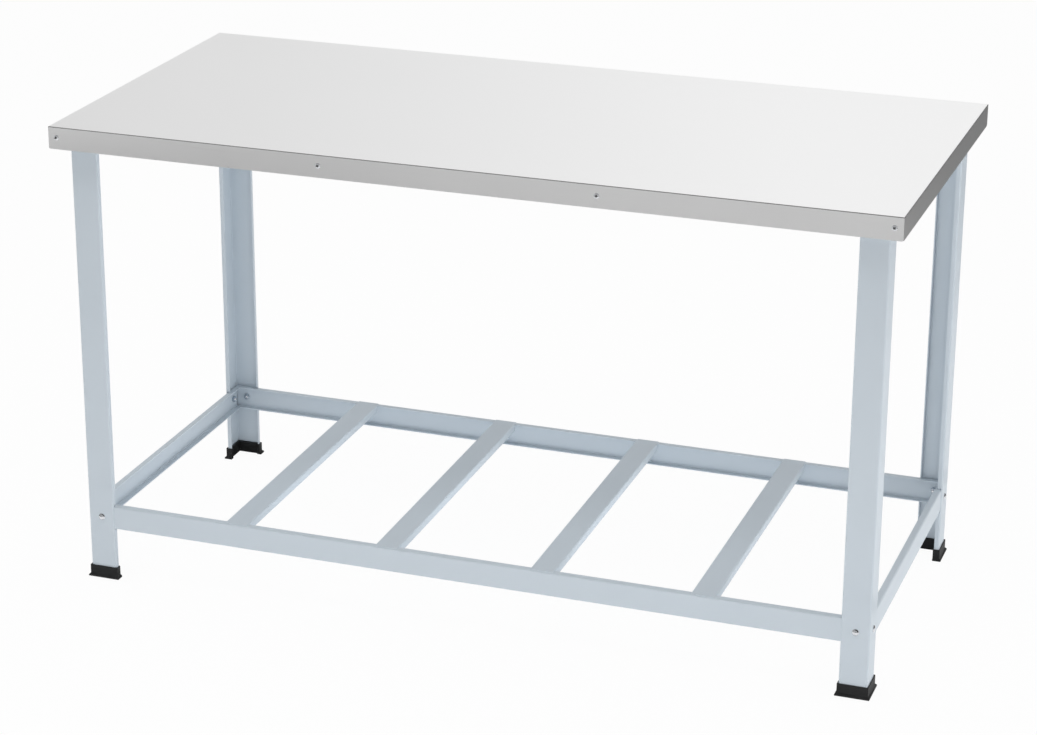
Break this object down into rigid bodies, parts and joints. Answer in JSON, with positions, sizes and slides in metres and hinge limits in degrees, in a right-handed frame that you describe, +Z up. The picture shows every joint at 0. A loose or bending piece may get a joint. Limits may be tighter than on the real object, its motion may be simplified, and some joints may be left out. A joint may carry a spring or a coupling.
{
  "type": "work table",
  "caption": "Free-standing work table: a folded stainless sheet top on painted lipped angle legs, tied near the floor by channel rails that carry an open shelf of slats.",
  "frame": {"origin": "on the floor, under the middle of the table", "axes": "+X along the table to the right, +Y from front to rear, +Z up"},
  "size_m": [1.5, 0.7048, 0.86],
  "materials": {
    "top_steel": "stainless sheet, satin, fine grain along the length",
    "frame_paint": "powder coat, pale blue-grey, low gloss",
    "zinc_fastener": "bright zinc",
    "black_plastic": "moulded, slight sheen",
    "core_board": "particle board with a pale melamine face"
  },
  "bodies": {
    "root": {"top_sheet": "top_steel", "top_core": "core_board", "leg_front_left": "frame_paint", "leg_plate_front_left": "frame_paint", "shoe_front_left": "black_plastic", "leg_front_right": "frame_paint", "leg_plate_front_right": "frame_paint", "shoe_front_right": "black_plastic", "leg_rear_right": "frame_paint", "leg_plate_rear_right": "frame_paint", "shoe_rear_right": "black_plastic", "leg_rear_left": "frame_paint", "leg_plate_rear_left": "frame_paint", "shoe_rear_left": "black_plastic", "rail_front": "frame_paint", "rail_rear": "frame_paint", "rail_left": "frame_paint", "rail_right": "frame_paint", "slat_1": "frame_paint", "slat_2": "frame_paint", "slat_3": "frame_paint", "slat_4": "frame_paint", "frame_bolts": "zinc_fastener", "frame_nuts": "zinc_fastener", "skirt_screws": "zinc_fastener", "plate_screws": "zinc_fastener"}
  },
  "joints": []
}
